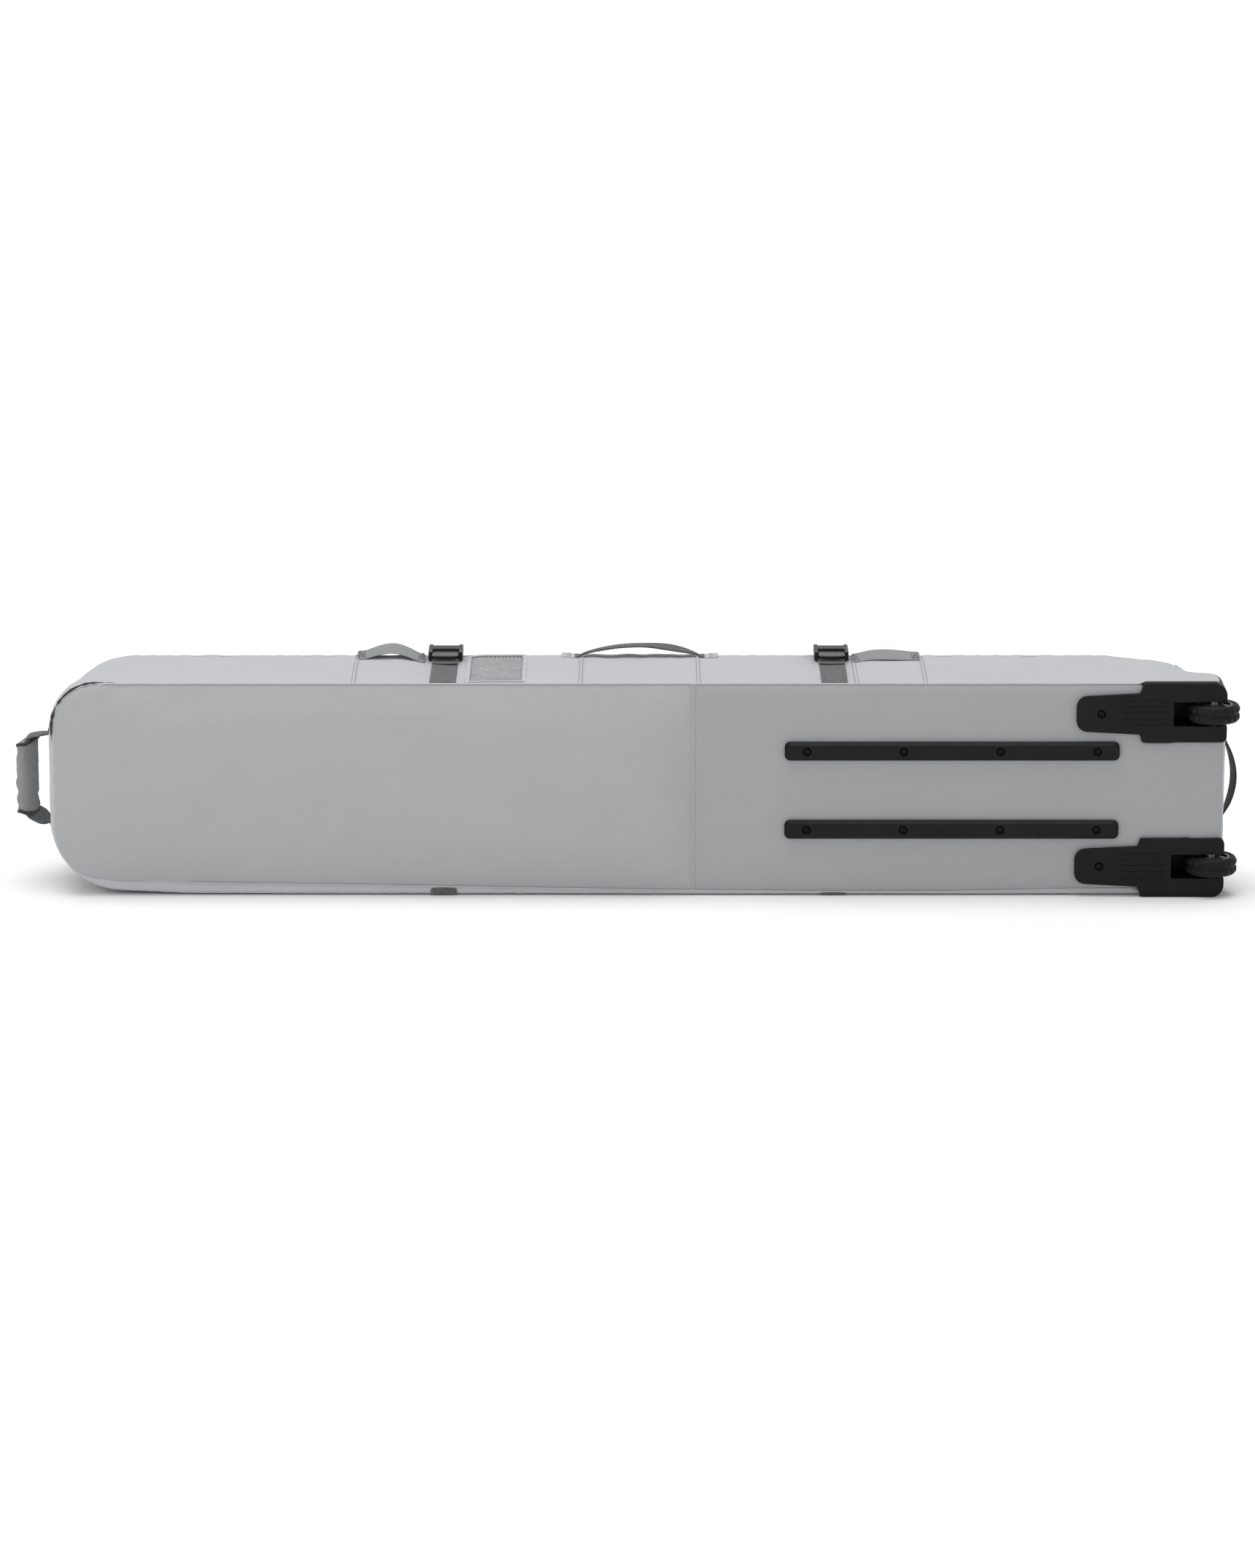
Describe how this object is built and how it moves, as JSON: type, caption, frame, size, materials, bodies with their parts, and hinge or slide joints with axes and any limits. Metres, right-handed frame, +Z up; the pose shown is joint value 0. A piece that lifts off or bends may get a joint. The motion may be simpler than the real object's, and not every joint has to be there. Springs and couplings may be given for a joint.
{
  "type": "snowboard bag",
  "caption": "Long padded board bag with hinged zip lid, straps and buckles, grab handles, skid rails and end wheels, lying on one side.",
  "frame": {"origin": "on the ground under the middle of the whole bag, handles and wheels included", "axes": "+X along the bag towards the wheels, +Y from the base to the lid, +Z up from the long side it stands on"},
  "size_m": [1.775, 0.242, 0.339],
  "materials": {
    "base_fabric": "mid grey woven polyester",
    "tail_base_fabric": "coated grey woven polyester",
    "side_fabric": "light grey woven polyester",
    "mesh": "open diamond mesh",
    "foam": "lined foam",
    "board": "sheet plastic",
    "webbing": "dark grey webbing",
    "tab_webbing": "grey webbing",
    "wrap_fabric": "padded grey fabric",
    "zip": "nylon coil",
    "zip_metal": "black coated",
    "buckle_plastic": "black moulded nylon",
    "housing_plastic": "black textured moulding",
    "hub_plastic": "dark grey moulding",
    "tyre": "black polyurethane",
    "steel": "plain",
    "screw_steel": "blackened"
  },
  "bodies": {
    "bag": {"base_nose_panel": "base_fabric", "base_tail_panel": "tail_base_fabric", "base_board": "board", "base_foam": "foam", "base_piping": "side_fabric", "upper_gusset": "side_fabric", "lower_gusset": "side_fabric", "nose_gusset": "side_fabric", "tail_panel": "side_fabric", "mesh_vent": "mesh", "lid_frame": "side_fabric", "tail_deck": "side_fabric", "frame_zip_half": "zip", "nose_strap_upper": "webbing", "tail_strap_upper": "webbing", "nose_strap_lower": "webbing", "tail_strap_lower": "webbing", "carry_handle_anchors": "webbing", "carry_handle_patch": "tab_webbing", "nose_tab_handle": "tab_webbing", "tail_tab_handle": "tab_webbing", "nose_handle_anchors": "webbing", "tail_handle_anchors": "webbing", "upper_housing": "housing_plastic", "lower_housing": "housing_plastic", "upper_axle": "steel", "lower_axle": "steel", "upper_axle_sleeves": "steel", "lower_axle_sleeves": "steel", "upper_skid_rail": "housing_plastic", "lower_skid_rail": "housing_plastic", "screws": "screw_steel", "screw_washers": "steel"},
    "lid": {"lid_panel": "side_fabric", "lid_foam": "foam", "lid_zip_half": "zip", "nose_strap_lid": "webbing", "tail_strap_lid": "webbing", "nose_buckle_socket": "buckle_plastic", "tail_buckle_socket": "buckle_plastic"},
    "slider_a": {"zip_slider_a": "zip_metal"},
    "slider_b": {"zip_slider_b": "zip_metal"},
    "pull_a": {"zip_pull_a": "buckle_plastic"},
    "pull_b": {"zip_pull_b": "buckle_plastic"},
    "nose_clip": {"nose_buckle_clip": "buckle_plastic", "nose_strap_end": "webbing"},
    "tail_clip": {"tail_buckle_clip": "buckle_plastic", "tail_strap_end": "webbing"},
    "carry_grip": {"carry_handle": "webbing"},
    "nose_grip": {"nose_handle": "webbing", "nose_handle_wrap": "wrap_fabric"},
    "tail_grip": {"tail_handle": "webbing"},
    "upper_wheel": {"upper_bearings": "steel", "upper_wheel_hub": "hub_plastic", "upper_tyre": "tyre"},
    "lower_wheel": {"lower_bearings": "steel", "lower_wheel_hub": "hub_plastic", "lower_tyre": "tyre"}
  },
  "joints": [
    {"name": "lid_hinge", "type": "hinge", "parent": "bag", "child": "lid", "pos_m": [0, 0.105, 0.02], "axis": [-1, 0, 0], "range_deg": [0, 90]},
    {"name": "slide_a", "type": "slide", "parent": "lid", "child": "slider_a", "axis": [-1, 0, 0], "range_m": [0, 1.11]},
    {"name": "slide_b", "type": "slide", "parent": "lid", "child": "slider_b", "axis": [1, 0, 0], "range_m": [0, 0.205]},
    {"name": "pull_a_turn", "type": "hinge", "parent": "slider_a", "child": "pull_a", "pos_m": [0.3975, 0.1108, 0.2913], "axis": [0, 0, -1], "range_deg": [0, 105]},
    {"name": "pull_b_turn", "type": "hinge", "parent": "slider_b", "child": "pull_b", "pos_m": [0.4415, 0.1108, 0.2913], "axis": [0, 0, 1], "range_deg": [0, 105]},
    {"name": "nose_clip_slide", "type": "slide", "parent": "bag", "child": "nose_clip", "axis": [0, -1, 0], "range_m": [0, 0.03]},
    {"name": "tail_clip_slide", "type": "slide", "parent": "bag", "child": "tail_clip", "axis": [0, -1, 0], "range_m": [0, 0.03]},
    {"name": "carry_swing", "type": "hinge", "parent": "bag", "child": "carry_grip", "pos_m": [0.0205, 0.083, 0.321], "axis": [1, 0, 0], "range_deg": [-60, 60]},
    {"name": "nose_swing", "type": "hinge", "parent": "bag", "child": "nose_grip", "pos_m": [-0.8415, -0.003, 0.1585], "axis": [0, 0, 1], "range_deg": [-55, 55]},
    {"name": "tail_swing", "type": "hinge", "parent": "bag", "child": "tail_grip", "pos_m": [0.8705, -0.003, 0.1585], "axis": [0, 0, 1], "range_deg": [-40, 40]},
    {"name": "upper_wheel_spin", "type": "hinge", "parent": "bag", "child": "upper_wheel", "pos_m": [0.8495, -0.083, 0.2715], "axis": [0, 0, 1], "continuous": true},
    {"name": "lower_wheel_spin", "type": "hinge", "parent": "bag", "child": "lower_wheel", "pos_m": [0.8495, -0.083, 0.0455], "axis": [0, 0, 1], "continuous": true}
  ]
}
